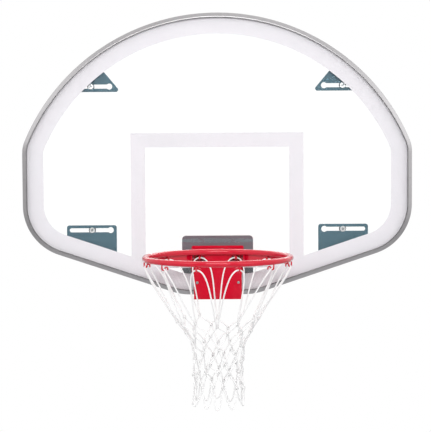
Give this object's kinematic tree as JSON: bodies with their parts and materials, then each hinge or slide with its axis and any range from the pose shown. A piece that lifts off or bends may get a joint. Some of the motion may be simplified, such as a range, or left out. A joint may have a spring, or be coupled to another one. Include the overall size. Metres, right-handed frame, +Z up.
{
  "type": "basketball backboard with breakaway ring",
  "caption": "Fan-shaped glass basketball backboard in an aluminium frame, with slotted rear brackets, a red sprung breakaway ring and a white knotted net.",
  "frame": {"origin": "Centre of the four mounting studs, on the plane behind the brackets where the support arms seat.", "axes": "X runs to the right along the board's width, Y points out of the back towards the support, Z is up; the playing face looks along minus Y."},
  "size_m": [1.3716, 0.7142, 1.3186],
  "materials": {
    "aluminium_frame": "satin extruded aluminium",
    "toughened_glass": "clear polished toughened glass",
    "white_marking": "white ink fired onto the rear of the glass",
    "bracket_grey": "blue-grey powder coat",
    "plate_grey": "grey powder coat",
    "red_steel": "semi-gloss red powder coat",
    "zinc_steel": "bright zinc plate",
    "spring_steel": "dark oiled spring steel",
    "black_rubber": "matte black rubber",
    "bronze": "plain sintered bronze",
    "white_cord": "white braided nylon cord"
  },
  "bodies": {
    "board": {"frame_upper": "aluminium_frame", "frame_lower": "aluminium_frame", "frame_splices": "aluminium_frame", "splice_screws": "zinc_steel", "glazing_gasket": "black_rubber", "glass_panel": "toughened_glass", "painted_markings": "white_marking", "bracket_upper_left": "bracket_grey", "bracket_upper_right": "bracket_grey", "bracket_lower_left": "bracket_grey", "bracket_lower_right": "bracket_grey", "bracket_rivets": "zinc_steel", "goal_plate": "plate_grey", "rear_pad": "black_rubber", "front_pad": "black_rubber", "plate_straps": "plate_grey", "strap_fasteners": "zinc_steel", "glass_sleeves": "black_rubber", "rim_bolts": "zinc_steel", "rim_washers": "zinc_steel", "rim_nuts": "zinc_steel", "base_plate": "red_steel", "hinge_pin": "zinc_steel", "pin_clips": "zinc_steel", "stop_bumper": "black_rubber", "travel_bumpers": "black_rubber", "base_spring_seats": "zinc_steel", "spring_left": "spring_steel", "spring_right": "spring_steel"},
    "ring": {"hood": "red_steel", "front_cover": "red_steel", "cover_screws": "zinc_steel", "hood_bushings": "bronze", "hood_spring_seats": "zinc_steel", "ring_rod": "red_steel", "ring_brace_left": "red_steel", "ring_brace_right": "red_steel", "net_hooks": "red_steel"},
    "net": {"net": "white_cord"},
    "bolt_upper_left": {"stud_upper_left": "zinc_steel", "retainer_upper_left": "spring_steel"},
    "bolt_upper_right": {"stud_upper_right": "zinc_steel", "retainer_upper_right": "spring_steel"},
    "bolt_lower_left": {"stud_lower_left": "zinc_steel", "retainer_lower_left": "spring_steel"},
    "bolt_lower_right": {"stud_lower_right": "zinc_steel", "retainer_lower_right": "spring_steel"}
  },
  "joints": [
    {"name": "ring_flex", "type": "hinge", "parent": "board", "child": "ring", "pos_m": [0, -0.0746, -0.3436], "axis": [1, 0, 0], "range_deg": [0, 30], "stiffness_Nm_per_rad": 200, "springref_deg": -57.3, "deforming": ["spring_left", "spring_right"]},
    {"name": "net_swing", "type": "hinge", "parent": "ring", "child": "net", "pos_m": [0, -0.4216, -0.3196], "axis": [-1, 0, 0], "range_deg": [-30, 30], "deforming": ["net"]},
    {"name": "slide_upper_left", "type": "slide", "parent": "board", "child": "bolt_upper_left", "axis": [-1, 0, 0], "range_m": [-0.045, 0.065]},
    {"name": "slide_upper_right", "type": "slide", "parent": "board", "child": "bolt_upper_right", "axis": [1, 0, 0], "range_m": [-0.045, 0.065]},
    {"name": "slide_lower_left", "type": "slide", "parent": "board", "child": "bolt_lower_left", "axis": [-1, 0, 0], "range_m": [-0.045, 0.065]},
    {"name": "slide_lower_right", "type": "slide", "parent": "board", "child": "bolt_lower_right", "axis": [1, 0, 0], "range_m": [-0.045, 0.065]}
  ]
}
